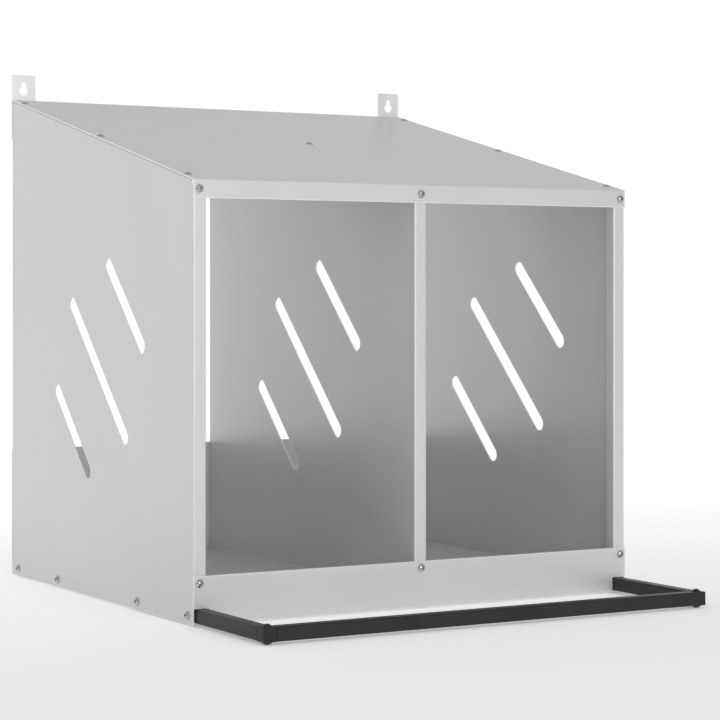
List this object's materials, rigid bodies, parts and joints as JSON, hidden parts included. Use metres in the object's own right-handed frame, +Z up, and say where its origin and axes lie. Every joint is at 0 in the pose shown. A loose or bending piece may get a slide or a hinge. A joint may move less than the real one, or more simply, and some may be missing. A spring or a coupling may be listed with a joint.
{
  "type": "nesting box",
  "caption": "Wall-hung sheet-metal laying nest with side-by-side compartments, sloping roof, open front over a low sill, slotted side walls and a tube perch in front.",
  "frame": {"origin": "bottom centre of the whole object's box, so that it stands on Z = 0", "axes": "+X to the right seen from the front, +Y from the perch to the back, +Z up"},
  "size_m": [0.445, 0.5245, 0.4883],
  "materials": {
    "galvanised_sheet": "bright galvanised steel sheet, smooth and softly reflective",
    "black_tube": "black powder coat, satin",
    "black_corner": "black moulded plastic, satin",
    "black_fastener": "black oxide, satin",
    "zinc_fastener": "bright zinc plating, glossy"
  },
  "bodies": {
    "root": {"left_side_panel": "galvanised_sheet", "right_side_panel": "galvanised_sheet", "centre_divider": "galvanised_sheet", "roof_panel": "galvanised_sheet", "floor_panel": "galvanised_sheet", "front_sill": "galvanised_sheet", "back_sill": "galvanised_sheet", "left_hanging_bracket": "galvanised_sheet", "right_hanging_bracket": "galvanised_sheet", "left_perch_arm": "black_tube", "right_perch_arm": "black_tube", "perch_bar": "black_tube", "left_perch_corner": "black_corner", "right_perch_corner": "black_corner", "perch_corner_screws": "black_fastener", "perch_corner_cap_nuts": "black_fastener", "left_perch_arm_screws": "zinc_fastener", "right_perch_arm_screws": "zinc_fastener", "left_perch_arm_nuts": "zinc_fastener", "right_perch_arm_nuts": "zinc_fastener", "left_floor_screws": "zinc_fastener", "right_floor_screws": "zinc_fastener", "left_floor_nuts": "zinc_fastener", "right_floor_nuts": "zinc_fastener", "left_roof_screws": "zinc_fastener", "right_roof_screws": "zinc_fastener", "middle_roof_screw": "zinc_fastener", "left_roof_nuts": "zinc_fastener", "right_roof_nuts": "zinc_fastener", "middle_roof_nut": "zinc_fastener", "lintel_screws": "zinc_fastener", "lintel_nuts": "zinc_fastener", "sill_screws": "zinc_fastener", "sill_nuts": "zinc_fastener", "sill_foot_screws": "zinc_fastener", "sill_foot_nuts": "zinc_fastener", "back_sill_screws": "zinc_fastener", "back_sill_nuts": "zinc_fastener", "back_sill_foot_screws": "zinc_fastener", "back_sill_foot_nuts": "zinc_fastener", "left_bracket_screws": "zinc_fastener", "right_bracket_screws": "zinc_fastener", "left_bracket_nuts": "zinc_fastener", "right_bracket_nuts": "zinc_fastener", "divider_foot_screws": "zinc_fastener", "divider_foot_nuts": "zinc_fastener"}
  },
  "joints": []
}
